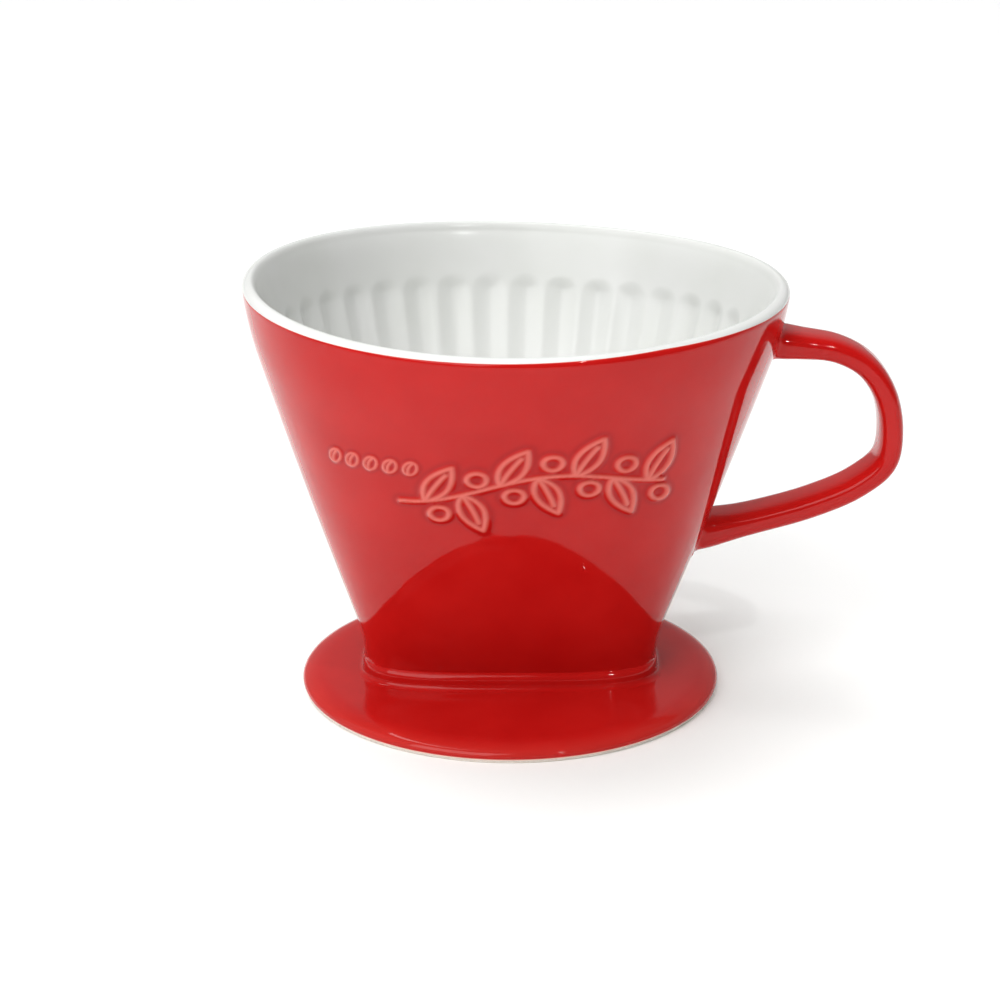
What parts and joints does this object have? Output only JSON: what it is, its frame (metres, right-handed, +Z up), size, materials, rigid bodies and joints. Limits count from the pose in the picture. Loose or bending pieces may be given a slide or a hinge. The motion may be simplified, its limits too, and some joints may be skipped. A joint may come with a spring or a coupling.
{
  "type": "pour over coffee dripper",
  "caption": "Wedge-shaped glazed porcelain coffee filter holder with fluted bowl, drip holes, round cup plate and loop handle.",
  "frame": {"origin": "on the resting surface, under the middle of the bounding box; the plate's axis is 16.0 mm to -X of it", "axes": "+X towards the handle, +Y across the wedge's broad side, +Z up out of the bowl"},
  "size_m": [0.168, 0.136, 0.108],
  "materials": {
    "red_glaze": "gloss",
    "white_glaze": "gloss",
    "bare_porcelain": "matte"
  },
  "bodies": {
    "root": {"filter_cone": "bare_porcelain", "red_glaze": "red_glaze", "white_glaze": "white_glaze", "plinth": "red_glaze", "base_plate": "red_glaze", "foot_ring": "bare_porcelain", "centring_ring": "red_glaze", "handle": "red_glaze"}
  },
  "joints": []
}
